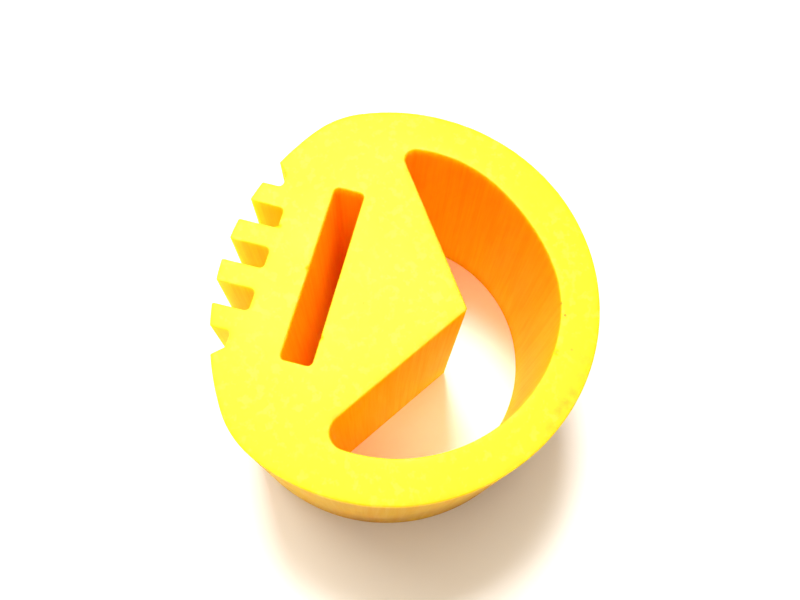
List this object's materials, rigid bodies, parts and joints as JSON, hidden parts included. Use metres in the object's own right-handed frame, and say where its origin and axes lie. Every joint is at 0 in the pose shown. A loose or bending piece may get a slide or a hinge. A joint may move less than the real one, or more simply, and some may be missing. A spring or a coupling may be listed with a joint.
{
  "type": "felling wedge block",
  "caption": "Thick round polyurethane block with a comb of square notches on one side, a narrow through slot, and a D-shaped opening with a blunt wedge nose.",
  "frame": {"origin": "on the axis of the round body, at the face it lies on", "axes": "+Z along the thickness from the base face to the top face, +X towards the nose and the thin front of the ring, +Y along the slot"},
  "size_m": [0.0915, 0.1, 0.06],
  "materials": {
    "polyurethane": "solid yellow cast polyurethane, matte, faintly mottled on the faces, with fine cutting lines down the walls"
  },
  "bodies": {
    "root": {"wedge_block": "polyurethane"}
  },
  "joints": []
}
